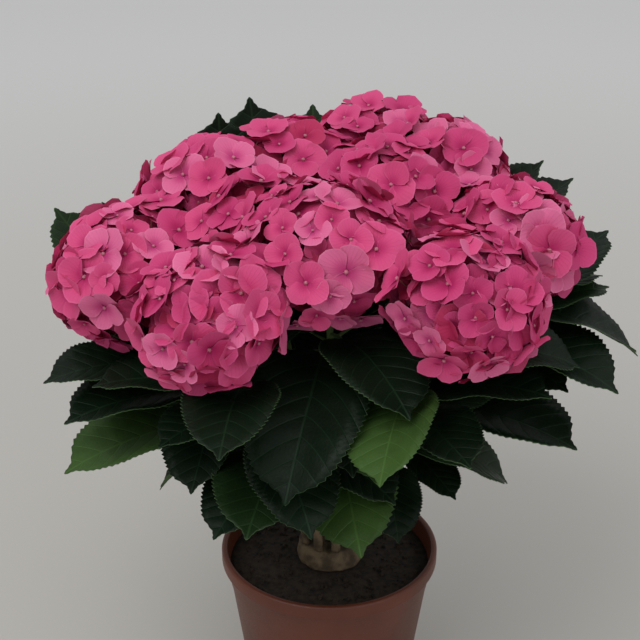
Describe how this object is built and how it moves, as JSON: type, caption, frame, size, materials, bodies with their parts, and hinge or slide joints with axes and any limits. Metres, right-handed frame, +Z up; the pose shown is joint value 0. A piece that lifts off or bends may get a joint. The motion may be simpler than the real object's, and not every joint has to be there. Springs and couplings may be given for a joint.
{
  "type": "potted mophead hydrangea shrub",
  "caption": "Mophead hydrangea shrub in a round nursery pot: leafy canes from one root crown, each ending in a large pink flower head.",
  "frame": {"origin": "middle of the pot's flat underside, on the ground", "axes": "+Z up along the pot's axis; -Y is the side seen from the front, with the largest flower heads; +X is its right"},
  "size_m": [0.5873, 0.5828, 0.6441],
  "materials": {
    "pot": "satin",
    "soil": "matte",
    "bark": "matte",
    "leaves": "satin",
    "petals": "satin"
  },
  "bodies": {
    "root": {"pot": "pot", "soil": "soil", "root_crown": "bark", "cane_left": "bark", "leaves_left": "leaves", "bloom_left": "petals", "cane_front_left": "bark", "leaves_front_left": "leaves", "bloom_front_left": "petals", "cane_centre": "bark", "leaves_centre": "leaves", "bloom_centre": "petals", "cane_front_right": "bark", "leaves_front_right": "leaves", "bloom_front_right": "petals", "cane_right": "bark", "leaves_right": "leaves", "bloom_right": "petals", "cane_mid_right": "bark", "leaves_mid_right": "leaves", "bloom_mid_right": "petals", "cane_upper_right": "bark", "leaves_upper_right": "leaves", "bloom_upper_right": "petals", "cane_back_right": "bark", "leaves_back_right": "leaves", "bloom_back_right": "petals", "cane_top": "bark", "leaves_top": "leaves", "bloom_top": "petals", "cane_back": "bark", "leaves_back": "leaves", "bloom_back": "petals", "cane_upper_mid": "bark", "leaves_upper_mid": "leaves", "bloom_upper_mid": "petals", "cane_back_left": "bark", "leaves_back_left": "leaves", "bloom_back_left": "petals", "cane_upper_left": "bark", "leaves_upper_left": "leaves", "bloom_upper_left": "petals", "cane_mid_left": "bark", "leaves_mid_left": "leaves", "bloom_mid_left": "petals"}
  },
  "joints": []
}
